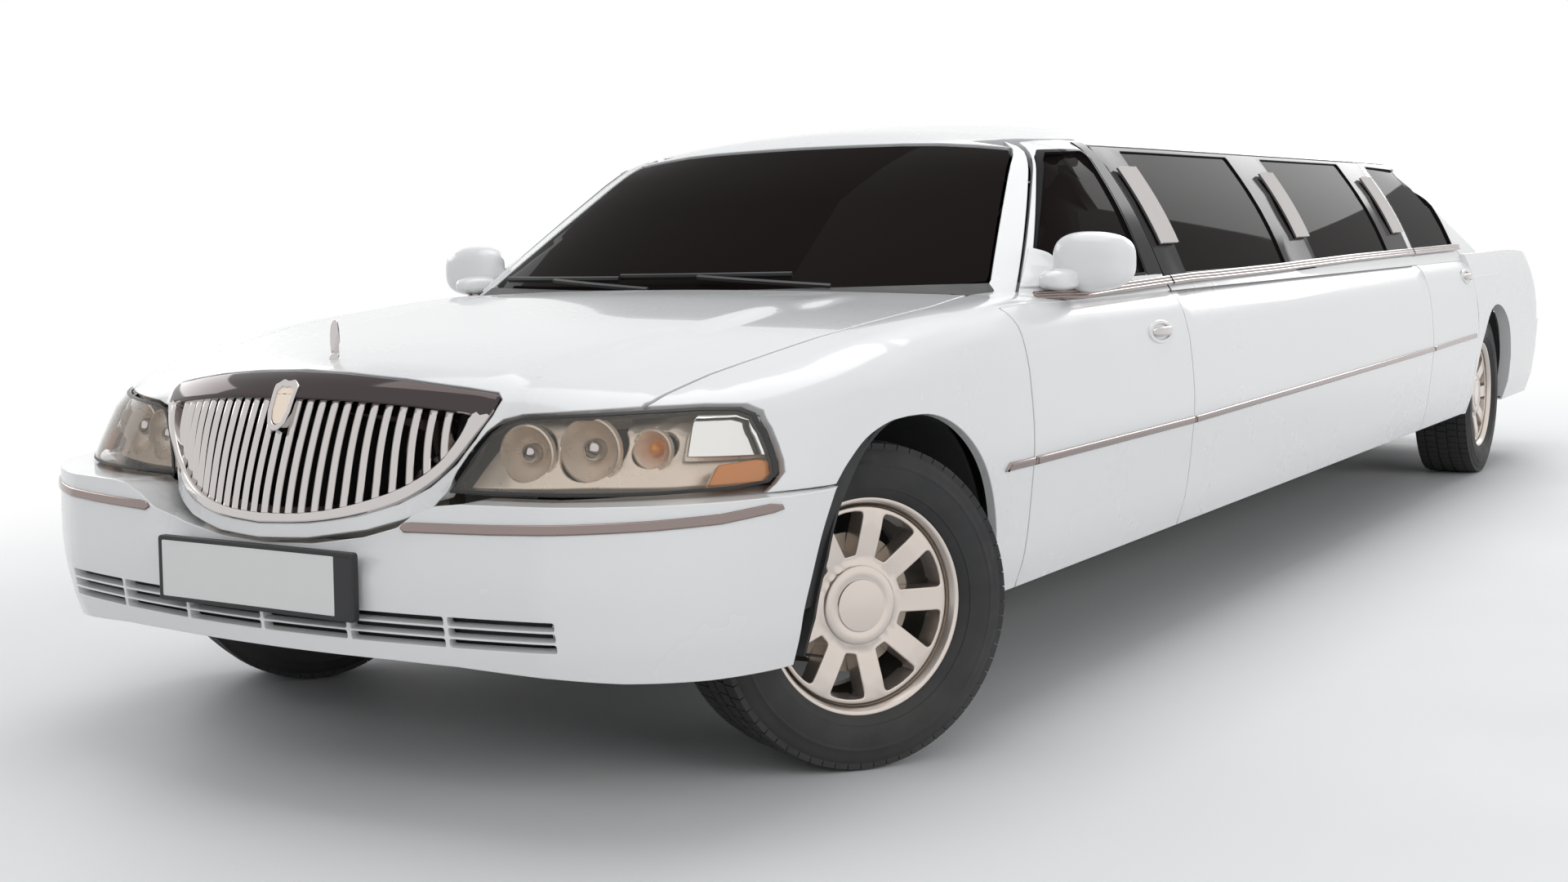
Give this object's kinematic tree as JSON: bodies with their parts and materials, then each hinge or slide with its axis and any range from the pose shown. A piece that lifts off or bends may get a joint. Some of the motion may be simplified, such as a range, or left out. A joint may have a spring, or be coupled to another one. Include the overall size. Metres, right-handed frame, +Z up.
{
  "type": "stretched saloon limousine",
  "caption": "Long white stretched saloon limousine with hinged doors, bonnet and boot lid, steered front wheels and dark glass.",
  "frame": {"origin": "bottom centre of the bounding box, on the ground under the car's middle", "axes": "+X the car's left, -Y the front, +Z up"},
  "size_m": [2.15, 8.53, 1.4778],
  "materials": {
    "body_paint": "gloss",
    "tinted_glass": "gloss",
    "chrome": "polished",
    "lamp_lens": "gloss",
    "tail_lens": "gloss",
    "black_trim": "satin",
    "frame_steel": "satin",
    "liner_plastic": "matte",
    "cast_parts": "rough",
    "alloy": "machined",
    "exhaust_steel": "dull",
    "seat_leather": "satin",
    "tyre_rubber": "matte"
  },
  "bodies": {
    "body": {"front_bumper": "body_paint", "rear_bumper": "body_paint", "front_fenders": "body_paint", "roof": "body_paint", "stretch_sides": "body_paint", "rear_quarters": "body_paint", "cowl": "black_trim", "windscreen": "tinted_glass", "rear_window": "tinted_glass", "stretch_glass": "tinted_glass", "headlamps": "lamp_lens", "tail_lamps": "tail_lens", "frame_rails": "frame_steel", "floor_pan": "frame_steel", "hinge_posts": "frame_steel", "arch_liners": "liner_plastic", "front_suspension": "cast_parts", "rear_axle": "cast_parts", "engine_block": "cast_parts", "radiator": "alloy", "exhaust": "exhaust_steel", "fuel_tank": "liner_plastic", "seats": "seat_leather", "dashboard": "black_trim", "partition": "black_trim", "plate_holder": "black_trim"},
    "bonnet": {"hood": "body_paint", "grille": "chrome", "hood_ornament": "chrome"},
    "boot_lid": {"boot_lid": "body_paint"},
    "door_front_left": {"door_front_left": "body_paint", "glass_front_left": "tinted_glass"},
    "door_front_right": {"door_front_right": "body_paint", "glass_front_right": "tinted_glass"},
    "door_rear_left": {"door_rear_left": "body_paint", "glass_rear_left": "tinted_glass"},
    "door_rear_right": {"door_rear_right": "body_paint", "glass_rear_right": "tinted_glass"},
    "knuckle_left": {"knuckle_left": "cast_parts"},
    "knuckle_right": {"knuckle_right": "cast_parts"},
    "wheel_front_left": {"tyre_front_left": "tyre_rubber", "rim_front_left": "alloy"},
    "wheel_front_right": {"tyre_front_right": "tyre_rubber", "rim_front_right": "alloy"},
    "wheel_rear_left": {"tyre_rear_left": "tyre_rubber", "rim_rear_left": "alloy"},
    "wheel_rear_right": {"tyre_rear_right": "tyre_rubber", "rim_rear_right": "alloy"}
  },
  "joints": [
    {"name": "bonnet_hinge", "type": "hinge", "parent": "body", "child": "bonnet", "pos_m": [0, -2.531, 0.955], "axis": [-1, 0, 0], "range_deg": [0, 50]},
    {"name": "boot_hinge", "type": "hinge", "parent": "body", "child": "boot_lid", "pos_m": [0, 2.911, 0.983], "axis": [1, 0, 0], "range_deg": [0, 60]},
    {"name": "door_front_left_hinge", "type": "hinge", "parent": "body", "child": "door_front_left", "pos_m": [0.971, -2.639, 0.65], "axis": [0, 0, -1], "range_deg": [0, 65]},
    {"name": "door_front_right_hinge", "type": "hinge", "parent": "body", "child": "door_front_right", "pos_m": [-0.971, -2.639, 0.65], "axis": [0, 0, 1], "range_deg": [0, 65]},
    {"name": "door_rear_left_hinge", "type": "hinge", "parent": "body", "child": "door_rear_left", "pos_m": [0.971, 1.541, 0.65], "axis": [0, 0, -1], "range_deg": [0, 65]},
    {"name": "door_rear_right_hinge", "type": "hinge", "parent": "body", "child": "door_rear_right", "pos_m": [-0.971, 1.541, 0.65], "axis": [0, 0, 1], "range_deg": [0, 65]},
    {"name": "steer_left", "type": "hinge", "parent": "body", "child": "knuckle_left", "pos_m": [0.745, -3.235, 0.351], "axis": [0, 0, 1], "range_deg": [-4, 68]},
    {"name": "steer_right", "type": "hinge", "parent": "body", "child": "knuckle_right", "pos_m": [-0.745, -3.235, 0.351], "axis": [0, 0, 1], "range_deg": [-4, 68]},
    {"name": "wheel_front_left_spin", "type": "hinge", "parent": "knuckle_left", "child": "wheel_front_left", "pos_m": [0.79588, -3.2668, 0.351], "axis": [0.848, -0.5299, 0], "continuous": true},
    {"name": "wheel_front_right_spin", "type": "hinge", "parent": "knuckle_right", "child": "wheel_front_right", "pos_m": [-0.79588, -3.20321, 0.351], "axis": [0.848, -0.5299, 0], "continuous": true},
    {"name": "wheel_rear_left_spin", "type": "hinge", "parent": "body", "child": "wheel_rear_left", "pos_m": [0.833, 2.803, 0.351], "axis": [1, 0, 0], "continuous": true},
    {"name": "wheel_rear_right_spin", "type": "hinge", "parent": "body", "child": "wheel_rear_right", "pos_m": [-0.833, 2.803, 0.351], "axis": [1, 0, 0], "continuous": true}
  ],
  "couplings": [
    {"joint": "steer_right", "follows": "steer_left", "ratio": 1}
  ]
}
